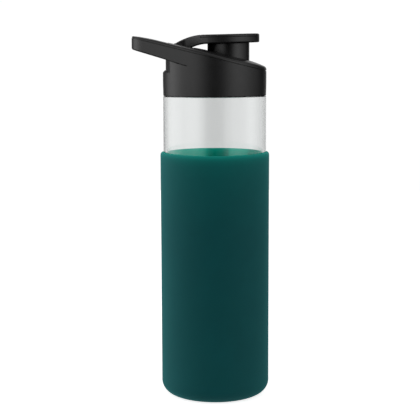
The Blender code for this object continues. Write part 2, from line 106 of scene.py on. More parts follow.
def turned(name, outline, seg=160, shape=None, open_end=False):
    """Revolve an outline of (r, z) or (r, z, cx) entries.

    shape(theta, r, z) may return a new radius array for a row.
    open_end: the outline is a run between two axis points, not a closed loop.
    """
    th = 2 * math.pi * np.arange(seg) / seg
    rows, verts = [], []
    for p in outline:
        r, z = p[0], p[1]
        cx = p[2] if len(p) > 2 else 0.0
        if r < 1e-6:
            rows.append([len(verts)])
            verts.append((cx, 0.0, z))
            continue
        rr = np.full(seg, r) if shape is None else shape(th, r, z)
        rows.append(list(range(len(verts), len(verts) + seg)))
        verts.extend(zip(cx + rr * np.cos(th), rr * np.sin(th), np.full(seg, z)))
    faces = []
    n = len(rows)
    for i in range(n - 1 if open_end else n):
        a, b = rows[i], rows[(i + 1) % n]
        if len(a) == 1 and len(b) == 1:
            continue
        for k in range(seg):
            j = (k + 1) % seg
            if len(a) == 1:
                faces.append((a[0], b[k], b[j]))
            elif len(b) == 1:
                faces.append((a[k], b[0], a[j]))
            else:
                faces.append((a[k], b[k], b[j], a[j]))
    return outward(to_object(name, verts, faces, 40))


def smoothstep(a, b, x):
    t = np.clip((x - a) / (b - a), 0.0, 1.0)
    return t * t * (3 - 2 * t)


def ridges(th, z, z0):
    """0..1 height of the two thread ridges at angle th and height z."""
    deg = np.degrees(th)
    total = np.zeros_like(deg)
    for s in (0.0, 180.0):
        for wrap in (-360.0, 0.0, 360.0):
            u = deg - s + wrap
            zc = z0 + THREAD_LEAD * u / 360.0
            fade = smoothstep(0.0, 24.0, u) * smoothstep(0.0, 24.0, THREAD_SPAN - u)
            body = 1.0 - smoothstep(0.42, 1.12, np.abs(z - zc))
            total = np.maximum(total, fade * body)
    return total


# ---------------------------------------------- solid fields and surface nets
def rmax(a, b, r):
    """Intersection of two fields with a rounded edge."""
    return np.minimum(np.maximum(a, b), -r) + np.hypot(np.maximum(a + r, 0), np.maximum(b + r, 0))


def smin(a, b, k):
    h = np.maximum(k - np.abs(a - b), 0.0) / k
    return np.minimum(a, b) - h * h * k * 0.25


def drop_plan(x, y, r1, r2, cx):
    """Distance to the outline of two circles joined by tangents."""
    h = -cx
    px, py = np.abs(y), -x
    b = (r1 - r2) / h
    a = math.sqrt(1 - b * b)
    k = -b * px + a * py
    return np.where(k < 0, np.hypot(px, py) - r1,
                    np.where(k > a * h, np.hypot(px, py - h) - r2, a * px + b * py - r1))


def net(name, field, lo, hi, cell, shear=0.0, extra_z=(), steps=4):
    """Surface-net mesh of field < 0, its points moved onto the exact surface.

    The grid may be sheared (z rises by shear * x) and have extra z levels, so
    thin grooves along a sloping plane get rows of their own.
    """
    xs = np.arange(lo[0], hi[0] + cell, cell)
    ys = np.arange(lo[1], hi[1] + cell, cell)
    zs = np.arange(lo[2], hi[2] + cell, cell)
    if len(extra_z):
        keep = [z for z in zs if min(abs(z - e) for e in extra_z) > cell * 0.45]
        zs = np.array(sorted(keep + list(extra_z)))
    f = np.empty((len(xs), len(ys), len(zs)), np.float32)
    Y, Z = np.meshgrid(ys, zs, indexing="ij")
    for i, x in enumerate(xs):
        f[i] = field(np.full_like(Y, x), Y, Z + shear * x)
    f[np.abs(f) < 1e-5] = 1e-5
    s = f < 0
    cnt = np.zeros(tuple(n - 1 for n in f.shape), np.uint8)
    for a in (0, 1):
        for b in (0, 1):
            for c in (0, 1):
                cnt += s[a:f.shape[0] - 1 + a, b:f.shape[1] - 1 + b, c:f.shape[2] - 1 + c]
    active = (cnt > 0) & (cnt < 8)
    ci, cj, ck = np.nonzero(active)
    index = np.full(active.shape, -1, np.int64)
    index[ci, cj, ck] = np.arange(len(ci))
    acc = np.zeros((len(ci), 3))
    num = np.zeros(len(ci))
    corners = [(a, b, c) for a in (0, 1) for b in (0, 1) for c in (0, 1)]

    def value(o):
        return f[ci + o[0], cj + o[1], ck + o[2]].astype(float)

    def place(o):
        x, y, z = xs[ci + o[0]], ys[cj + o[1]], zs[ck + o[2]]
        return np.stack([x, y, z + shear * x], 1)
    for p in corners:
        for axis in range(3):
            if p[axis]:
                continue
            q = tuple(v + (1 if k == axis else 0) for k, v in enumerate(p))
            fa, fb = value(p), value(q)
            hit = (fa < 0) != (fb < 0)
            t = np.where(hit, fa / np.where(hit, fa - fb, 1.0), 0.0)
            pa, pb = place(p), place(q)
            acc += np.where(hit[:, None], pa + (pb - pa) * t[:, None], 0.0)
            num += hit
    pts = acc / num[:, None]

    def grad(p, e=0.02):
        g = np.empty_like(p)
        for k in range(3):
            d = np.zeros(3)
            d[k] = e
            g[:, k] = (field(*(p + d).T) - field(*(p - d).T)) / (2 * e)
        return g
    for _ in range(steps):
        v = field(*pts.T)
        g = grad(pts)
        n2 = np.maximum((g * g).sum(1), 0.05)
        move = -(v / n2)[:, None] * g
        size = np.linalg.norm(move, axis=1)
        move *= np.minimum(1.0, 0.5 * cell / np.maximum(size, 1e-9))[:, None]
        pts += move
    faces = []
    for axis in range(3):
        o = [1 if k == axis else 0 for k in range(3)]
        n = f.shape
        a = s[:n[0] - o[0], :n[1] - o[1], :n[2] - o[2]]
        b = s[o[0]:, o[1]:, o[2]:]
        ei, ej, ek = np.nonzero(a != b)
        u, v = [k for k in range(3) if k != axis]
        e = np.stack([ei, ej, ek], 1)
        ok = (e[:, u] > 0) & (e[:, v] > 0) & (e[:, u] < n[u] - 1) & (e[:, v] < n[v] - 1)
        e = e[ok]
        ins = a[e[:, 0], e[:, 1], e[:, 2]]

        def cell_at(du, dv):
            c = e.copy()
            c[:, u] += du
            c[:, v] += dv
            return index[c[:, 0], c[:, 1], c[:, 2]]
        quad = np.stack([cell_at(-1, -1), cell_at(0, -1), cell_at(0, 0), cell_at(-1, 0)], 1)
        flip = ins if axis != 1 else ~ins
        quad[~flip] = quad[~flip][:, ::-1]
        faces.append(quad)
    faces = np.concatenate(faces)
    mesh = bpy.data.meshes.new(name)
    mesh.vertices.add(len(pts))
    mesh.vertices.foreach_set("co", (pts * MM).astype(np.float32).ravel())
    mesh.loops.add(faces.size)
    mesh.loops.foreach_set("vertex_index", faces.astype(np.int32).ravel())
    mesh.polygons.add(len(faces))
    mesh.polygons.foreach_set("loop_start", np.arange(0, faces.size, 4, dtype=np.int32))
    mesh.update(calc_edges=True)
    mesh.validate()
    mesh.shade_smooth()
    g = grad(pts)
    g /= np.maximum(np.linalg.norm(g, axis=1), 1e-9)[:, None]
    if len(mesh.vertices) == len(pts):
        mesh.normals_split_custom_set_from_vertices([tuple(v) for v in g])
    obj = bpy.data.objects.new(name, mesh)
    bpy.context.scene.collection.objects.link(obj)
    return obj


# ------------------------------------------------------------- lathed pieces
def make_glass():
    z0 = SLEEVE_FLOOR + 0.3
    foot = FOOT_RADIUS - (SLEEVE_R - GLASS_R)
    r_in = GLASS_R - GLASS_WALL
    low = [(0.0, z0 + 1.5), (5.0, z0 + 1.45), (10.0, z0 + 1.3), (14.0, z0 + 1.1), (18.0, z0 + 0.75),
           (22.0, z0 + 0.25), (24.0, z0 + 0.08)]
    low += arc(GLASS_R - foot, z0 + foot, foot, -90, 0, 14)
    outer = [(GLASS_R, z) for z in np.linspace(z0 + foot + 4, SHOULDER_Z - SHOULDER_RADIUS - 1, 40)]
    up = arc(GLASS_R - SHOULDER_RADIUS, SHOULDER_Z - SHOULDER_RADIUS, SHOULDER_RADIUS, 0, 90, 6)
    up += arc(NECK_R + 0.9, SHOULDER_Z + 0.9, 0.9, 270, 180, 5)
    neck = [(NECK_R, z) for z in np.arange(SHOULDER_Z + 1.1, RIM_Z - 1.0, 0.24)]
    lip = 1.0
    rim = arc(NECK_R - lip, RIM_Z - lip, lip, 0, 90, 7) + arc(MOUTH_R + lip, RIM_Z - lip, lip, 90, 180, 7)
    ceiling = SHOULDER_Z - 0.4
    inner = [(MOUTH_R, z) for z in np.linspace(RIM_Z - 2.0, ceiling + 0.8, 6)]
    inner += arc(MOUTH_R + 0.3, ceiling + 0.3, 0.3, 180, 270, 4)
    inner += arc(r_in - 0.15, ceiling - 0.15, 0.15, 90, 0, 4)
    inner += [(r_in, z) for z in np.linspace(ceiling - 1.5, z0 + 12, 40)]
    zf = z0 + 4.0
    inner += arc(r_in - 5.0, zf + 5.0, 5.0, 0, -90, 12) + [(18.0, zf + 0.15), (8.0, zf + 0.5), (0.0, zf + 0.6)]

    def shape(th, r, z):
        if abs(r - NECK_R) < 1e-6 and z > SHOULDER_Z + 1.0:
            return r + (THREAD_CREST - NECK_R) * ridges(th, z, THREAD_Z)
        return np.full(len(th), r)
    return turned("glass_body", low + outer + up + neck + rim + inner, 160, shape, open_end=True)


def make_sleeve():
    r0, r1 = SLEEVE_R, GLASS_R + 0.06
    a, b, h = 1.05, r0 - 1.05 - r1, 2.2          # lip: long round outside, short inside
    foot = r0 - FOOT_RADIUS
    inner = FOOT_RADIUS - (r0 - r1)
    out = [(0.0, 0.0), (10.0, 0.0), (20.0, 0.0), (foot - 1.0, 0.0)]
    out += arc(foot, FOOT_RADIUS, FOOT_RADIUS, -90, 0, 24)
    out += [(r0 - 0.04 * math.sin(math.pi * t), FOOT_RADIUS + (SLEEVE_TOP - h - FOOT_RADIUS) * t)
            for t in np.linspace(0.02, 0.98, 40)]
    out += [(r0 - a + a * math.cos(math.radians(t)), SLEEVE_TOP - h + h * math.sin(math.radians(t)))
            for t in range(0, 91, 9)]
    out += arc(r1 + b, SLEEVE_TOP - b, b, 90, 180, 6)
    out += [(r1, z) for z in np.linspace(SLEEVE_TOP - 3.0, FOOT_RADIUS + 3.0, 30)]
    out += arc(r1 - inner, SLEEVE_FLOOR + inner, inner, 0, -90, 14) + [(0.0, SLEEVE_FLOOR)]
    return turned("sleeve_skin", out, 192, open_end=True)


def make_liner():
    def tilt_top(x):
        return 233.65 + 0.027 * x - 0.05
    seg = 160
    th = 2 * math.pi * np.arange(seg) / seg
    z_rim = tilt_top(SPOUT_X)
    rows = []          # cx, r, z, tilt
    rows += [(0, LINER_BORE + 0.3, LINER_BOTTOM, 0), (0, LINER_R - 0.4, LINER_BOTTOM, 0),
             (0, LINER_R, LINER_BOTTOM + 0.4, 0)]
    rows += [(0, LINER_R, z, 0) for z in np.linspace(LINER_BOTTOM + 2, DISC_TOP - 1.4, 8)]
    rows += [(0, r, z, 0) for r, z in arc(LINER_R - 1.0, DISC_TOP - 1.0, 1.0, 0, 90, 6)]
    for t in (0.15, 0.35, 0.6, 0.85):
        rows.append((SPOUT_X * t, (LINER_R - 1.0) * (1 - t) + (SPOUT_R + 0.8) * t, DISC_TOP, 0))
    rows += [(SPOUT_X, SPOUT_R + 0.8 + 0.8 * math.cos(math.radians(a)), DISC_TOP + 0.8 + 0.8 * math.sin(math.radians(a)), 0)
             for a in (270, 240, 210, 180)]
    tube = np.linspace(DISC_TOP + 2.0, z_rim - 1.2, 16)
    rows += [(SPOUT_X, SPOUT_R, z, max(0.0, (z - 226.0) / (z_rim - 226.0))) for z in tube]
    rows += [(SPOUT_X, r, z, 1) for r, z in arc(SPOUT_R - 0.35, z_rim - 0.35, 0.35, 0, 90, 8)]
    rows += [(SPOUT_X, r, z, 1) for r, z in arc(SPOUT_BORE + 0.7, z_rim - 0.7, 0.7, 90, 180, 6)]
    rows += [(SPOUT_X, SPOUT_BORE, z, max(0.0, (z - 226.0) / (z_rim - 226.0))) for z in np.linspace(z_rim - 2.0, DISC_BOTTOM + 1.0, 14)]
    rows += [(SPOUT_X, SPOUT_BORE + 0.5 - 0.5 * math.cos(math.radians(a)), DISC_BOTTOM + 0.5 - 0.5 * math.sin(math.radians(a)), 0)
             for a in (0, 45, 90)]
    for t in (0.8, 0.5, 0.2):
        rows.append((SPOUT_X * t, (LINER_BORE - 0.4) * (1 - t) + (SPOUT_BORE + 0.5) * t, DISC_BOTTOM, 0))
    rows += [(0, LINER_BORE - 0.4, DISC_BOTTOM, 0), (0, LINER_BORE - 0.1, DISC_BOTTOM - 0.1, 0)]
    z_th = THREAD_Z - THREAD_LEAD / 4
    inner = np.arange(DISC_BOTTOM - 0.4, LINER_BOTTOM + 0.3, -0.24)
    rows += [(0, LINER_BORE, z, 0) for z in inner]
    verts, ring = [], []
    for cx, r, z, t in rows:
        rr = np.full(seg, float(r))
        if abs(r - LINER_BORE) < 1e-6 and z < DISC_BOTTOM - 0.3:
            rr = rr - (LINER_BORE - LINER_CREST) * ridges(th, z, z_th)
        ring.append(list(range(len(verts), len(verts) + seg)))
        x = cx + rr * np.cos(th)
        zz = z + t * 0.027 * (x - SPOUT_X)
        verts.extend(zip(x, rr * np.sin(th), zz))
    faces = []
    n = len(ring)
    for i in range(n):
        a, b = ring[i], ring[(i + 1) % n]
        for k in range(seg):
            j = (k + 1) % seg
            faces.append((a[k], b[k], b[j], a[j]))
    return outward(to_object("spout_and_liner", verts, faces, 40))


def make_gasket():
    c = 0.35
    lo, hi, r0, r1 = 212.9, 214.4, 25.6, 29.6
    out = arc(r0 + c, lo + c, c, 180, 270, 5) + arc(r1 - c, lo + c, c, 270, 360, 5)
    out += arc(r1 - c, hi - c, c, 0, 90, 5) + arc(r0 + c, hi - c, c, 90, 180, 5)
    return turned("gasket_ring", out, 128)


def make_plug():
    out = [(0.0, 229.2), (6.0, 229.2)]
    out += arc(9.3, 230.1, 0.9, -90, 0, 6)
    out += [(10.3, 230.4), (10.35, 230.7)]
    out += arc(10.45, 231.3, 0.42, -70, 70, 8)
    out += [(10.4, 231.9)]
    out += arc(10.3, 232.5, 0.45, -30, 90, 6)
    out += [(4.4, 232.95), (4.0, 233.3), (4.0, 236.0), (3.7, 236.2), (0.0, 236.2)]
    obj = turned("spout_stopper", out, 96, open_end=True)
    obj.data.transform(Matrix.Translation((SPOUT_X * MM, 0, 0)))
    return obj


# ---------------------------------------------------------------- lid shell
def edge_z(x):
    return EDGE_Z0 + EDGE_SLOPE * x


def under_z(x):
    return UNDER_Z0 + UNDER_SLOPE * x


def crown(x, d):
    h0 = 1.2 + 0.7 * smoothstep(-54.0, -38.0, x) - 0.05 * smoothstep(-28.0, -10.0, x)
    h0 = h0 + 0.55 * smoothstep(6.0, 26.0, x)
    a = 1.2 + 1.1 * smoothstep(-26.0, -4.0, x)
    return h0 + a * (1.0 - np.exp(-np.maximum(d, 0.0) / 8.0))


def shell_field(x, y, z):
    r = np.hypot(x, y)
    taper = 0.2 * (1.0 - smoothstep(197.0, 210.0, z))      # the collar narrows a little downwards
    plan = drop_plan(x, y, LID_R, LOOP_R, LOOP_X) + taper
    cu = 1.0 / math.hypot(1.0, UNDER_SLOPE)
    ce = 1.0 / math.hypot(1.0, EDGE_SLOPE)
    rec = np.hypot(x - RECESS_X, y) - RECESS_R
    under = (under_z(x) - z) * cu
    top = (z - edge_z(x) - crown(x, -plan)) * ce
    upper = rmax(rmax(plan, top, 1.3), under, 0.9 - 0.6 * smoothstep(-42.0, -26.0, x))
    hole = np.maximum(drop_plan(x, y, LID_R - LOOP_BAND, LOOP_R - LOOP_BAND, LOOP_X), -rec)
    upper = rmax(upper, -hole, 1.0)
    low = rmax(r - LID_R + taper, LID_BOTTOM - z, 0.45)
    ledge = rmax(z - LEDGE_TOP, (r - LID_R + z - LEDGE_TOP + 1.75) * 0.7071, 1.0)
    low = rmax(low, ledge, 0.5)
    body = np.maximum(np.maximum(r - LID_R, rec), np.maximum(210.0 - z, -(under + 3.0)))
    solid = np.minimum(np.minimum(upper, low), body)
    # parting groove along the top edge of the wall
    g = np.abs(z - edge_z(x) - 0.1) * ce - 0.19
    groove = np.maximum(g, -plan - 0.5)
    solid = rmax(solid, -groove, 0.12)
    bore = np.maximum(r - LID_BORE, z - LID_CEILING)
    attic = np.maximum(np.maximum(r - 29.3, z - edge_z(x) - 0.2), LID_CEILING - 1.0 - z)
    attic = np.maximum(attic, x - 20.0)
    keep = np.maximum(np.maximum(x + 11.0, np.abs(y) - 17.0), 222.0 - z)
    attic = np.maximum(attic, -keep)
    spout = np.hypot(x - SPOUT_X, y) - SPOUT_R - 0.28
    attic = np.maximum(attic, -(spout - 2.2))
    solid = np.maximum(solid, -np.minimum(bore, attic))
    solid = rmax(solid, -spout, 0.35)
    wide = SLOT_HALF + SLOT_FLARE * np.clip((x - ARM_X + 0.4) / (SLOT_END - ARM_X + 0.4), 0.0, 1.0)
    slot = np.maximum(np.maximum(np.abs(y) - wide, x - SLOT_END), np.maximum(SLOT_FLOOR - z, -36.0 - x))
    solid = rmax(solid, -slot, 0.45)
    pin = np.maximum(np.hypot(x - HINGE_X, z - HINGE_Z) - PIN_HOLE_R, np.abs(y) - PIN_HALF - 0.3)
    return np.maximum(solid, -pin)


# ----------------------------------------------------------------- flip cap
def cap_top(x):
    k = np.minimum(x + 7.0, 0.0)
    return 239.5 + 0.022 * x - 0.015 * k * k


def cap_under(x):
    k = np.minimum(x + 5.0, 0.0)
    return 233.65 + 0.027 * x - 0.0215 * k * k


def cap_half(x):
    """Half width of the flip cap behind its widest place, and its slope."""
    w1 = PLATE_HALF - WAIST_BEND * (WAIST_X - PLATE_X) ** 2
    m1 = -2 * WAIST_BEND * (WAIST_X - PLATE_X)
    run = WAIST_X - ARM_X
    t = np.clip((x - ARM_X) / run, 0.0, 1.0)
    w = ARM_HALF + (w1 - ARM_HALF) * t * t * (3 - 2 * t) + m1 * run * (t ** 3 - t * t)
    dw = (w1 - ARM_HALF) * 6 * t * (1 - t) / run + m1 * (3 * t * t - 2 * t)
    late = x > WAIST_X
    w = np.where(late, PLATE_HALF - WAIST_BEND * (x - PLATE_X) ** 2, w)
    dw = np.where(late, -2 * WAIST_BEND * (x - PLATE_X), dw)
    return w, dw


def cap_plan(x, y):
    w, dw = cap_half(np.minimum(x, PLATE_X))
    side = (np.abs(y) - w) / np.sqrt(1 + dw * dw)
    ex, ey = (x - PLATE_X) / PLATE_REACH, y / PLATE_HALF
    k0 = np.hypot(ex, ey)
    k1 = np.maximum(np.hypot(ex / PLATE_REACH, ey / PLATE_HALF), 1e-6)
    return np.where(x > PLATE_X, np.maximum(k0 * (k0 - 1.0) / k1, -20.0), side)


def cap_solid(x, y, z):
    plan = cap_plan(x, y)
    kt = np.minimum(x + 7.0, 0.0)
    ku = np.minimum(x + 5.0, 0.0)
    ct = 1.0 / np.sqrt(1 + (0.022 - 0.030 * kt) ** 2)
    cu = 1.0 / np.sqrt(1 + (0.027 - 0.043 * ku) ** 2)
    top = (z - cap_top(x) + 0.25 * (y / PLATE_HALF) ** 2) * ct
    under = (cap_under(x) - z) * cu
    blade = rmax(rmax(plan, top, 1.1), under, 0.8)
    blade = np.maximum(blade, HINGE_X - x)
    knuckle = rmax(np.hypot(x - HINGE_X, z - HINGE_Z) - KNUCKLE_R, np.abs(y) - ARM_HALF, 0.6)
    solid = smin(blade, knuckle, 0.8)
    hole = np.hypot(x - HINGE_X, z - HINGE_Z) - PIN_HOLE_R
    return rmax(solid, -hole, 0.2)


def zone(x, y, z, grow):
    low = cap_top(x) - COVER_T - grow - z
    return np.maximum(low, np.maximum(COVER_X[0] - grow - x, x - COVER_X[1] - grow))


def cap_field(x, y, z):
    solid = rmax(cap_solid(x, y, z), -zone(x, y, z, 0.05), 0.12)
    r = np.hypot(x - SPOUT_X, y)
    socket = np.maximum(r - 4.2, z - 236.4)
    return np.maximum(solid, -socket)


def cover_field(x, y, z):
    return rmax(cap_solid(x, y, z), zone(x, y, z, -0.05), 0.12)


# ---------------------------------------------------------------- materials
def new_material(name):
    mat = bpy.data.materials.new(name)
    mat.use_nodes = True
    nt = mat.node_tree
    return mat, nt, nt.nodes["Principled BSDF"]


def node(nt, kind, **values):
    n = nt.nodes.new(kind)
    for k, v in values.items():
        if k in n.inputs.keys():
            n.inputs[k].default_value = v
        else:
            setattr(n, k, v)
    return n


def grain_material(name, dark, light, rough, spread, grain, depth, blotch=90.0, sheen=0.0,
                   sheen_tint=(1.0, 1.0, 1.0), specular=0.5, fine=2.6):
    """Moulded plastic or silicone: mottled colour, uneven gloss, spark-eroded grain."""
    mat, nt, bsdf = new_material(name)
    bsdf.inputs["Specular IOR Level"].default_value = specular
    bsdf.inputs["Sheen Weight"].default_value = sheen
    bsdf.inputs["Sheen Roughness"].default_value = 0.6
    bsdf.inputs["Sheen Tint"].default_value = (*sheen_tint, 1)
    coord = node(nt, "ShaderNodeTexCoord")
    big = node(nt, "ShaderNodeTexNoise", Scale=blotch, Detail=4.0, Roughness=0.6)
    nt.links.new(coord.outputs["Object"], big.inputs["Vector"])
    ramp = node(nt, "ShaderNodeMapRange")
    ramp.inputs["From Min"].default_value = 0.3
    ramp.inputs["From Max"].default_value = 0.7
    nt.links.new(big.outputs["Fac"], ramp.inputs["Value"])
    mix = node(nt, "ShaderNodeMix", data_type="RGBA")
    mix.inputs["A"].default_value = (*dark, 1)
    mix.inputs["B"].default_value = (*light, 1)
    mix.inputs[6].default_value = (*dark, 1)
    mix.inputs[7].default_value = (*light, 1)
    nt.links.new(ramp.outputs["Result"], mix.inputs[0])
    nt.links.new(mix.outputs[2], bsdf.inputs["Base Color"])
    mid = node(nt, "ShaderNodeTexNoise", Scale=blotch * 3.3, Detail=5.0, Roughness=0.65)
    nt.links.new(coord.outputs["Object"], mid.inputs["Vector"])
    rr = node(nt, "ShaderNodeMapRange")
    rr.inputs["From Min"].default_value = 0.25
    rr.inputs["From Max"].default_value = 0.75
    rr.inputs["To Min"].default_value = rough - spread
    rr.inputs["To Max"].default_value = rough + spread
    nt.links.new(mid.outputs["Fac"], rr.inputs["Value"])
    nt.links.new(rr.outputs["Result"], bsdf.inputs["Roughness"])
    a = node(nt, "ShaderNodeTexNoise", Scale=grain, Detail=3.0, Roughness=0.7)
    b = node(nt, "ShaderNodeTexVoronoi", Scale=grain * fine)
    nt.links.new(coord.outputs["Object"], a.inputs["Vector"])
    nt.links.new(coord.outputs["Object"], b.inputs["Vector"])
    add = node(nt, "ShaderNodeMath", operation="MULTIPLY_ADD")
    add.inputs[1].default_value = 0.35
    nt.links.new(b.outputs["Distance"], add.inputs[0])
    nt.links.new(a.outputs["Fac"], add.inputs[2])
    bump = node(nt, "ShaderNodeBump", Strength=0.5, Distance=depth)
    nt.links.new(add.outputs["Value"], bump.inputs["Height"])
    nt.links.new(bump.outputs["Normal"], bsdf.inputs["Normal"])
    return mat


def stepped(nt, source, stops, name, interpolation="LINEAR"):
    """Grey level read from a list of (position 0..1, level)."""
    ramp = nt.nodes.new("ShaderNodeValToRGB")
    ramp.name = name
    ramp.color_ramp.interpolation = interpolation
    el = ramp.color_ramp.elements
    while len(el) < len(stops):
        el.new(0.5)
    for e, (pos, v) in zip(el, stops):
        e.position = pos
        e.color = (v, v, v, 1)
    nt.links.new(source, ramp.inputs["Fac"])
    return ramp.outputs["Color"]


def painted_backlight(mat, dark, light):
    """Painted backlight for daylight through the silicone wall: faces turned to the axis get a paler,
    lit copy of the green and a painted glow, uneven round the axis, and a painted glow lies on the rim above the
    liquid line."""
    nt = mat.node_tree
    bsdf = nt.nodes["Principled BSDF"]
    old = bsdf.inputs["Base Color"].links[0].from_socket
    coord = node(nt, "ShaderNodeTexCoord")
    flat = node(nt, "ShaderNodeVectorMath", operation="MULTIPLY")
    flat.inputs[1].default_value = (1.0, 1.0, 0.0)
    unit = node(nt, "ShaderNodeVectorMath", operation="NORMALIZE")
    dot = node(nt, "ShaderNodeVectorMath", operation="DOT_PRODUCT")
    nt.links.new(coord.outputs["Object"], flat.inputs[0])
    nt.links.new(flat.outputs["Vector"], unit.inputs[0])
    nt.links.new(unit.outputs["Vector"], dot.inputs[0])
    nt.links.new(coord.outputs["Normal"], dot.inputs[1])
    inside = node(nt, "ShaderNodeMapRange")
    inside.inputs["From Min"].default_value = 0.1
    inside.inputs["From Max"].default_value = -0.7
    nt.links.new(dot.outputs["Value"], inside.inputs["Value"])
    noise = node(nt, "ShaderNodeTexNoise", Scale=60.0, Detail=3.0)
    nt.links.new(coord.outputs["Object"], noise.inputs["Vector"])
    # painted lit tone: the inward faces get a paler, mottled green, as if lit through the wall
    pale = node(nt, "ShaderNodeMix", data_type="RGBA")
    pale.inputs[6].default_value = (*dark, 1)
    pale.inputs[7].default_value = (*light, 1)
    nt.links.new(noise.outputs["Fac"], pale.inputs[0])
    mix = node(nt, "ShaderNodeMix", data_type="RGBA")
    nt.links.new(inside.outputs["Result"], mix.inputs[0])
    nt.links.new(old, mix.inputs[6])
    nt.links.new(pale.outputs[2], mix.inputs[7])
    nt.links.new(mix.outputs[2], bsdf.inputs["Base Color"])

    xyz = node(nt, "ShaderNodeSeparateXYZ")
    nt.links.new(coord.outputs["Object"], xyz.inputs["Vector"])
    turn = node(nt, "ShaderNodeMath", operation="ARCTAN2")
    nt.links.new(xyz.outputs["X"], turn.inputs[0])
    nt.links.new(xyz.outputs["Y"], turn.inputs[1])
    turn01 = node(nt, "ShaderNodeMath", operation="MULTIPLY_ADD")
    turn01.inputs[1].default_value = 0.5 / math.pi
    turn01.inputs[2].default_value = 0.5
    nt.links.new(turn.outputs["Value"], turn01.inputs[0])
    around = stepped(nt, turn01.outputs["Value"],
                     [(0.5 + deg / 360.0, v) for deg, v in PAINTED_GLOW_ROUND], "painted_glow_round")
    # painted glow on the inward faces, its level set by the angle round the axis
    wall = node(nt, "ShaderNodeMath", operation="MULTIPLY")
    nt.links.new(around, wall.inputs[0])
    nt.links.new(inside.outputs["Result"], wall.inputs[1])
    # painted glow near the rim, rising with height
    height = node(nt, "ShaderNodeMath", operation="MULTIPLY")
    height.inputs[1].default_value = 1000.0 / PAINTED_GLOW_UP[-1][0]
    nt.links.new(xyz.outputs["Z"], height.inputs[0])
    up = stepped(nt, height.outputs["Value"], [(z / PAINTED_GLOW_UP[-1][0], v) for z, v in PAINTED_GLOW_UP], "painted_glow_up")
    total = node(nt, "ShaderNodeMath", operation="ADD")
    nt.links.new(wall.outputs["Value"], total.inputs[0])
    nt.links.new(up, total.inputs[1])
    # colour of the painted glow, emitted by the sleeve itself
    bsdf.inputs["Emission Color"].default_value = (0.0, 1.0, 0.72, 1)
    nt.links.new(total.outputs["Value"], bsdf.inputs["Emission Strength"])


def glass_material():
    mat, nt, bsdf = new_material("clear_glass")
    bsdf.inputs["Base Color"].default_value = (0.985, 0.992, 0.99, 1)
    bsdf.inputs["Transmission Weight"].default_value = 1.0
    bsdf.inputs["IOR"].default_value = 1.5
    coord = node(nt, "ShaderNodeTexCoord")
    wave = node(nt, "ShaderNodeTexNoise", Scale=26.0, Detail=2.0, Roughness=0.5)
    stretch = node(nt, "ShaderNodeMapping")
    stretch.inputs["Scale"].default_value = (1.0, 1.0, 0.35)
    nt.links.new(coord.outputs["Object"], stretch.inputs["Vector"])
    nt.links.new(stretch.outputs["Vector"], wave.inputs["Vector"])
    bump = node(nt, "ShaderNodeBump", Strength=0.25, Distance=0.0004)
    nt.links.new(wave.outputs["Fac"], bump.inputs["Height"])
    nt.links.new(bump.outputs["Normal"], bsdf.inputs["Normal"])
    rough = node(nt, "ShaderNodeTexNoise", Scale=60.0, Detail=5.0)
    nt.links.new(coord.outputs["Object"], rough.inputs["Vector"])
    rr = node(nt, "ShaderNodeMapRange")
    rr.inputs["From Min"].default_value = 0.35
    rr.inputs["From Max"].default_value = 0.75
    rr.inputs["To Min"].default_value = 0.0
    rr.inputs["To Max"].default_value = 0.03
    nt.links.new(rough.outputs["Fac"], rr.inputs["Value"])
    nt.links.new(rr.outputs["Result"], bsdf.inputs["Roughness"])
    vol = node(nt, "ShaderNodeVolumeAbsorption")
    vol.inputs["Color"].default_value = (0.80, 0.83, 0.83, 1)
    vol.inputs["Density"].default_value = 60.0
    nt.links.new(vol.outputs["Volume"], nt.nodes["Material Output"].inputs["Volume"])
    return mat


def steel_material():
    mat, nt, bsdf = new_material("ground_steel")
    bsdf.inputs["Base Color"].default_value = (0.62, 0.62, 0.61, 1)
    bsdf.inputs["Metallic"].default_value = 1.0
    coord = node(nt, "ShaderNodeTexCoord")
    stretch = node(nt, "ShaderNodeMapping")
    stretch.inputs["Scale"].default_value = (1.0, 0.04, 1.0)
    noise = node(nt, "ShaderNodeTexNoise", Scale=4000.0, Detail=4.0)
    nt.links.new(coord.outputs["Object"], stretch.inputs["Vector"])
    nt.links.new(stretch.outputs["Vector"], noise.inputs["Vector"])
    rr = node(nt, "ShaderNodeMapRange")
    rr.inputs["To Min"].default_value = 0.16
    rr.inputs["To Max"].default_value = 0.38
    nt.links.new(noise.outputs["Fac"], rr.inputs["Value"])
    nt.links.new(rr.outputs["Result"], bsdf.inputs["Roughness"])
    bump = node(nt, "ShaderNodeBump", Strength=0.3, Distance=0.00002)
    nt.links.new(noise.outputs["Fac"], bump.inputs["Height"])
    nt.links.new(bump.outputs["Normal"], bsdf.inputs["Normal"])
    return mat


# painted glow for daylight through the silicone: (degrees from +Y towards +X, level) on the inner
# face, and (height in mm, level) near the rim
PAINTED_GLOW_ROUND = [(-180.0, 0.10), (-80.0, 0.12), (-62.0, 0.19), (-18.0, 0.18), (-9.5, 0.13), (-7.0, 0.06),
              (17.0, 0.06), (18.5, 0.18), (43.5, 0.17), (46.0, 0.08), (80.0, 0.09), (180.0, 0.10)]
PAINTED_GLOW_UP = [(0.0, 0.0), (113.0, 0.0), (135.0, 0.006), (148.0, 0.011), (156.0, 0.019), (159.0, 0.034),
           (160.5, 0.06), (162.8, 0.12)]


def dress(obj, mat):
    obj.data.materials.clear()
    obj.data.materials.append(mat)


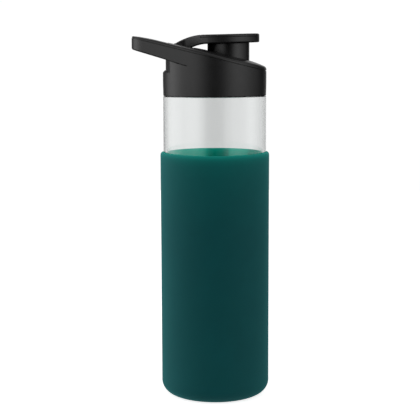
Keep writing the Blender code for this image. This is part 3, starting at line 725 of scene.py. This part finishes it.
GLASS = glass_material()
SLEEVE = grain_material("green_silicone", (0.0006, 0.062, 0.067), (0.0010, 0.072, 0.077), 0.60, 0.05,
                        2600.0, 0.00004, blotch=45.0, specular=0.045, sheen=0.5,
                        sheen_tint=(0.25, 0.97, 1.0))
# painted backlight on the sleeve: paler, glowing inner faces and a glowing rim
painted_backlight(SLEEVE, (0.020, 0.27, 0.215), (0.028, 0.31, 0.25))
LID = grain_material("black_plastic", (0.0085, 0.0085, 0.009), (0.0115, 0.0115, 0.012), 0.36, 0.035,
                     3200.0, 0.000022, blotch=120.0)
LINER = grain_material("black_liner_plastic", (0.008, 0.008, 0.0085), (0.011, 0.011, 0.0115), 0.29, 0.03,
                       3000.0, 0.00002, blotch=120.0)
CAP = grain_material("black_cap_plastic", (0.0085, 0.0085, 0.009), (0.0115, 0.0115, 0.012), 0.35, 0.03,
                     3300.0, 0.000022, blotch=140.0)
COVER = grain_material("black_cover_plastic", (0.009, 0.009, 0.0095), (0.012, 0.012, 0.0125), 0.38, 0.03,
                       3000.0, 0.000026, blotch=140.0)
SEAL = grain_material("clear_silicone", (0.50, 0.51, 0.50), (0.60, 0.61, 0.60), 0.45, 0.05, 2500.0, 0.00002)
PLUG = grain_material("grey_silicone", (0.060, 0.060, 0.060), (0.080, 0.080, 0.080), 0.52, 0.05, 2500.0, 0.00003)
STEEL = steel_material()


# ------------------------------------------------------------------- pieces
def place(obj, body, mat, slot, *nodes):
    dress(obj, mat)
    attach(obj, body)
    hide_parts(*nodes)
    return obj


CELL = 0.4
rows = sorted(set(round(224.1 + s * k, 3) for k in (0.0, 0.07, 0.13, 0.19, 0.26, 0.36, 0.5) for s in (-1, 1)))
place(make_glass(), "bottle", GLASS, "clear_glass", "glass_bottle")
place(make_sleeve(), "bottle", SLEEVE, "green_silicone", "silicone_sleeve")
place(make_gasket(), "gasket", SEAL, "clear_silicone", "lid_gasket")
place(make_liner(), "lid", LINER, "liner_plastic", "spout_liner")
shell = net("lid_and_loop", shell_field, (-56.0, -35.2, 190.0), (35.2, 35.2, 231.5), CELL,
            shear=EDGE_SLOPE, extra_z=rows)
place(shell, "lid", LID, "black_plastic", "lid_shell")
cell = 0.3
cap = net("flip_cap_body", cap_field, (-30.5, -23.2, 223.6), (30.6, 23.2, 241.0), cell,
          extra_z=(237.3, 237.45, 237.6, 237.75, 237.9))
place(cap, "flip_top", CAP, "cap_plastic", "flip_cap")
cover = net("flip_cap_skin", cover_field, (-10.5, -23.2, 236.0), (28.5, 23.2, 241.0), cell)
place(cover, "flip_top", COVER, "cover_plastic", "flip_cap_cover")
place(make_plug(), "flip_top", PLUG, "grey_silicone", "spout_plug")
dress(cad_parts["hinge_pin"], STEEL)


# -------------------------------------------------------------------- stage
def make_floor():
    mat, nt, bsdf = new_material("pale_floor")
    bsdf.inputs["Base Color"].default_value = (0.93, 0.93, 0.93, 1)
    bsdf.inputs["Roughness"].default_value = 0.9
    bsdf.inputs["Specular IOR Level"].default_value = 0.1
    bsdf.inputs["Emission Color"].default_value = (1, 1, 1, 1)
    bsdf.inputs["Emission Strength"].default_value = 0.8
    seg = 96
    r = 1200.0
    verts = [(0, 0, -0.2)] + [(r * math.cos(2 * math.pi * k / seg), r * math.sin(2 * math.pi * k / seg), -0.2)
                              for k in range(seg)]
    faces = [(0, 1 + k, 1 + (k + 1) % seg) for k in range(seg)]
    floor = to_object("floor", verts, faces)
    dress(floor, mat)
    floor.visible_glossy = False
    floor.visible_diffuse = False
    floor.visible_transmission = False
    floor.visible_shadow = False
    return floor


# light of the room round the bottle: level every 15 degrees, from behind the
# camera (0) through its right side (90), and a few levels by height
ROUND = [0.0, 0.10, 0.84, 1.36, 1.30, 0.93, 0.51, 0.30, 0.06, 0.0, 0.14, 0.76,
         0.72, 0.30, 0.0, 0.18, 1.22, 1.82, 1.53, 1.10, 1.16, 1.29, 0.87, 0.13]
HIGH = [0.5] * 8
TOP, BELOW = 0.3, 0.05
# backdrop as the clear glass shows it: level at degrees off the +Y direction
BACKDROP = [(-40.0, 0.82), (-12.0, 0.82), (-6.0, 0.83), (-3.0, 0.88), (-1.5, 0.83), (-0.5, 0.71), (0.5, 0.70),
            (1.5, 0.74), (3.0, 0.77), (6.0, 0.89), (12.0, 0.80), (40.0, 0.82)]


def curve_level(nt, source, levels, name):
    """Smooth ring of levels read by a turn fraction 0..1."""
    ramp = nt.nodes.new("ShaderNodeValToRGB")
    ramp.name = name
    ramp.color_ramp.interpolation = "EASE"
    n = len(levels)
    stops = ramp.color_ramp.elements
    while len(stops) < n + 1:
        stops.new(0.5)
    for k in range(n + 1):
        v = levels[k % n]
        stops[k].position = k / n
        stops[k].color = (v, v, v, 1)
    nt.links.new(source, ramp.inputs["Fac"])
    return ramp.outputs["Color"]


def make_world():
    world = bpy.data.worlds.new("studio")
    bpy.context.scene.world = world
    world.use_nodes = True
    nt = world.node_tree
    nt.nodes.clear()

    def math_node(op, a, b=None, c=None):
        n = nt.nodes.new("ShaderNodeMath")
        n.operation = op
        for k, v in enumerate((a, b, c)):
            if v is None:
                continue
            if isinstance(v, (int, float)):
                n.inputs[k].default_value = v
            else:
                nt.links.new(v, n.inputs[k])
        return n.outputs["Value"]
    out = nt.nodes.new("ShaderNodeOutputWorld")
    coord = nt.nodes.new("ShaderNodeTexCoord")
    xyz = nt.nodes.new("ShaderNodeSeparateXYZ")
    nt.links.new(coord.outputs["Generated"], xyz.inputs["Vector"])
    turn = math_node("ARCTAN2", xyz.outputs["X"], math_node("MULTIPLY", xyz.outputs["Y"], -1.0))
    turn = math_node("FRACT", math_node("ADD", math_node("DIVIDE", turn, 2 * math.pi), 1.0))
    rise = xyz.outputs["Z"]

    def blend(lo, hi):
        n = nt.nodes.new("ShaderNodeMapRange")
        n.interpolation_type = "SMOOTHSTEP"
        n.inputs["From Min"].default_value = lo
        n.inputs["From Max"].default_value = hi
        nt.links.new(rise, n.inputs["Value"])
        return n.outputs["Result"]

    def mix(fac, a, b):
        n = nt.nodes.new("ShaderNodeMix")
        nt.links.new(fac, n.inputs["Factor"])
        for v, i in ((a, 2), (b, 3)):
            if isinstance(v, (int, float)):
                n.inputs[i].default_value = v
            else:
                nt.links.new(v, n.inputs[i])
        return n.outputs[0]
    level = curve_level(nt, turn, ROUND, "round")
    high = curve_level(nt, turn, HIGH, "high")
    level = mix(blend(0.42, 0.68), level, high)
    level = mix(blend(0.82, 0.94), level, TOP)
    level = mix(blend(-0.12, -0.34), level, BELOW)
    # a ray that bounces inside the glass and leaves towards the front sees a dimmer
    # room, the others see the backdrop
    path = nt.nodes.new("ShaderNodeLightPath")
    level = math_node("MULTIPLY", level,
                      math_node("MULTIPLY_ADD", path.outputs["Is Transmission Ray"], -0.65, 1.0))
    lit = nt.nodes.new("ShaderNodeBackground")
    nt.links.new(level, lit.inputs["Strength"])
    lit.inputs["Color"].default_value = (1, 1, 1, 1)
    white = nt.nodes.new("ShaderNodeBackground")
    white.inputs["Color"].default_value = (1, 1, 1, 1)
    white.inputs["Strength"].default_value = 1.02
    off = math_node("ARCTAN2", xyz.outputs["X"], xyz.outputs["Y"])
    span = math.radians(BACKDROP[-1][0] - BACKDROP[0][0])
    off = math_node("MULTIPLY_ADD", off, 1.0 / span, 0.5)
    drop = nt.nodes.new("ShaderNodeValToRGB")
    drop.name = "backdrop"
    stops = drop.color_ramp.elements
    while len(stops) < len(BACKDROP):
        stops.new(0.5)
    for stop, (deg, v) in zip(stops, BACKDROP):
        stop.position = math.radians(deg - BACKDROP[0][0]) / span
        stop.color = (v, v, v, 1)
    nt.links.new(off, drop.inputs["Fac"])
    behind = nt.nodes.new("ShaderNodeBackground")
    behind.inputs["Color"].default_value = (1, 1, 1, 1)
    nt.links.new(drop.outputs["Color"], behind.inputs["Strength"])
    straight = math_node("SUBTRACT", 1.0, math_node("MINIMUM", path.outputs["Glossy Depth"], 1.0))
    ahead = nt.nodes.new("ShaderNodeMapRange")
    ahead.interpolation_type = "SMOOTHSTEP"
    ahead.inputs["From Min"].default_value = -0.4
    ahead.inputs["From Max"].default_value = 0.2
    nt.links.new(xyz.outputs["Y"], ahead.inputs["Value"])
    through = nt.nodes.new("ShaderNodeMixShader")
    nt.links.new(math_node("MULTIPLY", path.outputs["Is Transmission Ray"],
                           math_node("MAXIMUM", straight, ahead.outputs["Result"])),
                 through.inputs["Fac"])
    nt.links.new(lit.outputs["Background"], through.inputs[1])
    nt.links.new(behind.outputs["Background"], through.inputs[2])
    mixed = nt.nodes.new("ShaderNodeMixShader")
    nt.links.new(path.outputs["Is Camera Ray"], mixed.inputs["Fac"])
    nt.links.new(through.outputs["Shader"], mixed.inputs[1])
    nt.links.new(white.outputs["Background"], mixed.inputs[2])
    nt.links.new(mixed.outputs["Shader"], out.inputs["Surface"])


def make_camera():
    cam = bpy.data.cameras.new("camera")
    cam.sensor_width = 36.0
    cam.lens = 36.0 * 1183.97 / 420.0
    cam.clip_start, cam.clip_end = 0.05, 20.0
    obj = bpy.data.objects.new("camera", cam)
    bpy.context.scene.collection.objects.link(obj)
    obj.matrix_world = (Matrix.Translation((-0.00330, -0.78304, 0.22671))
                        @ Matrix.Rotation(math.radians(90.0 - 7.4957), 4, "X")
                        @ Matrix.Rotation(-0.0028, 4, "Z"))
    bpy.context.scene.camera = obj


make_floor()
make_world()
make_camera()
bpy.context.scene.view_settings.view_transform = "Standard"
bpy.context.scene.view_settings.look = "None"

bpy.context.view_layer.update()
